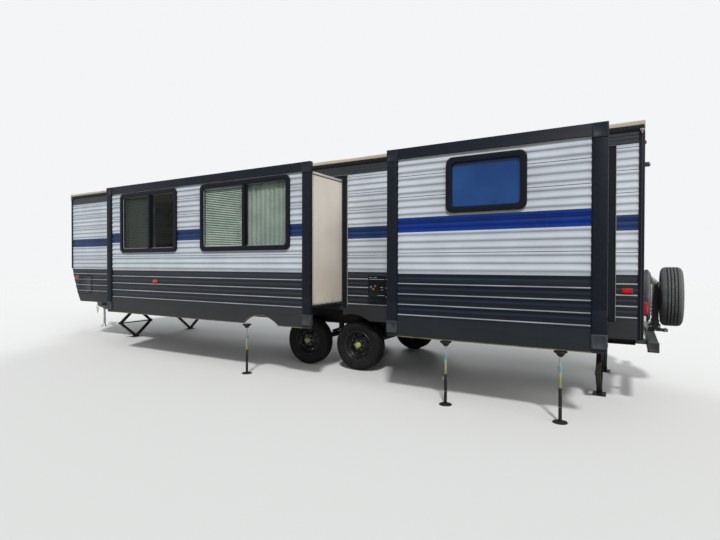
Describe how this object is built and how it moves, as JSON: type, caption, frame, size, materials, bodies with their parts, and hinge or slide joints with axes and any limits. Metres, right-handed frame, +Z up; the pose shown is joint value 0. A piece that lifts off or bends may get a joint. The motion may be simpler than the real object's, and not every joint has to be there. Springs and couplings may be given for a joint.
{
  "type": "travel caravan",
  "caption": "Two-axle towed travel caravan with ribbed siding, two slide-out rooms, tongue, jacks and rear spare wheels.",
  "frame": {"origin": "middle of the footprint, on the ground the wheels stand on", "axes": "+X forward to the coupler, +Y to the road side with the slide-outs, +Z up"},
  "size_m": [12.222, 3.7398, 3.3],
  "materials": {
    "frame_black": "satin",
    "siding_grey": "gloss",
    "siding_dark": "gloss",
    "trim_black": "satin",
    "slide_wall": "satin",
    "floor_board": "matt",
    "roof_sheet": "matt",
    "window_frame": "satin",
    "window_glass": "gloss",
    "white_plastic": "satin",
    "steel": "worn",
    "tyre": "matt",
    "rim_black": "gloss",
    "spare_steel": "satin",
    "cylinder_paint": "gloss",
    "box_plastic": "matt",
    "awning_fabric": "matt",
    "red_lens": "gloss",
    "amber_lens": "gloss"
  },
  "bodies": {
    "body_and_chassis": {"chassis_rails": "frame_black", "cross_members": "frame_black", "tongue_frame": "frame_black", "hitch_coupler": "frame_black", "axles": "frame_black", "leaf_springs": "steel", "floor_deck": "floor_board", "road_wall": "siding_grey", "curb_wall": "siding_grey", "front_wall": "siding_grey", "rear_wall": "siding_grey", "roof": "roof_sheet", "corner_trims": "trim_black", "slide_opening_trims": "trim_black", "curb_window_frames": "window_frame", "curb_window_glass": "window_glass", "air_conditioner": "white_plastic", "roof_vents": "white_plastic", "rear_bumper": "frame_black", "spare_carrier": "frame_black", "spare_rims": "spare_steel", "spare_tyres": "tyre", "gas_cylinders": "cylinder_paint", "battery_box": "box_plastic", "tongue_jack_tube": "steel", "stabilizer_jacks": "frame_black", "slide_support_stands": "steel", "awning": "awning_fabric", "red_lamps": "red_lens", "amber_lamps": "amber_lens", "docking_panel": "box_plastic", "curb_side_fittings": "white_plastic", "holding_tanks": "box_plastic"},
    "tongue_jack_leg": {"tongue_jack_leg": "steel"},
    "entry_door": {"entry_door": "siding_grey", "entry_door_glass": "window_glass"},
    "entry_steps": {"entry_steps": "frame_black"},
    "road_baggage_door": {"road_baggage_door": "siding_dark"},
    "curb_baggage_door": {"curb_baggage_door": "siding_dark"},
    "rear_slide": {"rear_slide_face": "siding_grey", "rear_slide_trim": "trim_black", "rear_slide_end_walls": "slide_wall", "rear_slide_floor_and_roof": "slide_wall", "rear_slide_window_frames": "window_frame", "rear_slide_window_glass": "window_glass"},
    "front_slide": {"front_slide_face": "siding_grey", "front_slide_trim": "trim_black", "front_slide_end_walls": "slide_wall", "front_slide_floor_and_roof": "slide_wall", "front_slide_window_frames": "window_frame", "front_slide_window_glass": "window_glass", "front_slide_lamp": "amber_lens"},
    "front_road_wheel": {"front_road_wheel": "rim_black", "front_road_tyre": "tyre"},
    "front_curb_wheel": {"front_curb_wheel": "rim_black", "front_curb_tyre": "tyre"},
    "rear_road_wheel": {"rear_road_wheel": "rim_black", "rear_road_tyre": "tyre"},
    "rear_curb_wheel": {"rear_curb_wheel": "rim_black", "rear_curb_tyre": "tyre"}
  },
  "joints": [
    {"name": "rear_slide_travel", "type": "slide", "parent": "body_and_chassis", "child": "rear_slide", "axis": [0, -1, 0], "range_m": [0, 0.755]},
    {"name": "front_slide_travel", "type": "slide", "parent": "body_and_chassis", "child": "front_slide", "axis": [0, -1, 0], "range_m": [0, 0.755]},
    {"name": "front_road_wheel_spin", "type": "hinge", "parent": "body_and_chassis", "child": "front_road_wheel", "pos_m": [-1.289, 0.7775, 0.36], "axis": [0, 1, 0], "continuous": true},
    {"name": "front_curb_wheel_spin", "type": "hinge", "parent": "body_and_chassis", "child": "front_curb_wheel", "pos_m": [-1.289, -1.1975, 0.36], "axis": [0, 1, 0], "continuous": true},
    {"name": "rear_road_wheel_spin", "type": "hinge", "parent": "body_and_chassis", "child": "rear_road_wheel", "pos_m": [-2.179, 0.7775, 0.36], "axis": [0, 1, 0], "continuous": true},
    {"name": "rear_curb_wheel_spin", "type": "hinge", "parent": "body_and_chassis", "child": "rear_curb_wheel", "pos_m": [-2.179, -1.1975, 0.36], "axis": [0, 1, 0], "continuous": true},
    {"name": "entry_door_swing", "type": "hinge", "parent": "body_and_chassis", "child": "entry_door", "pos_m": [0.5935, -1.438, 1.8], "axis": [0, 0, 1], "range_deg": [0, 170]},
    {"name": "road_baggage_door_lift", "type": "hinge", "parent": "body_and_chassis", "child": "road_baggage_door", "pos_m": [4.381, 1.02, 1.288], "axis": [1, 0, 0], "range_deg": [0, 150]},
    {"name": "curb_baggage_door_lift", "type": "hinge", "parent": "body_and_chassis", "child": "curb_baggage_door", "pos_m": [4.381, -1.44, 1.288], "axis": [-1, 0, 0], "range_deg": [0, 150]},
    {"name": "entry_steps_pull", "type": "slide", "parent": "body_and_chassis", "child": "entry_steps", "axis": [0, 1, 0], "range_m": [0, 0.4]},
    {"name": "tongue_jack_lift", "type": "slide", "parent": "body_and_chassis", "child": "tongue_jack_leg", "axis": [0, 0, 1], "range_m": [0, 0.35]}
  ]
}
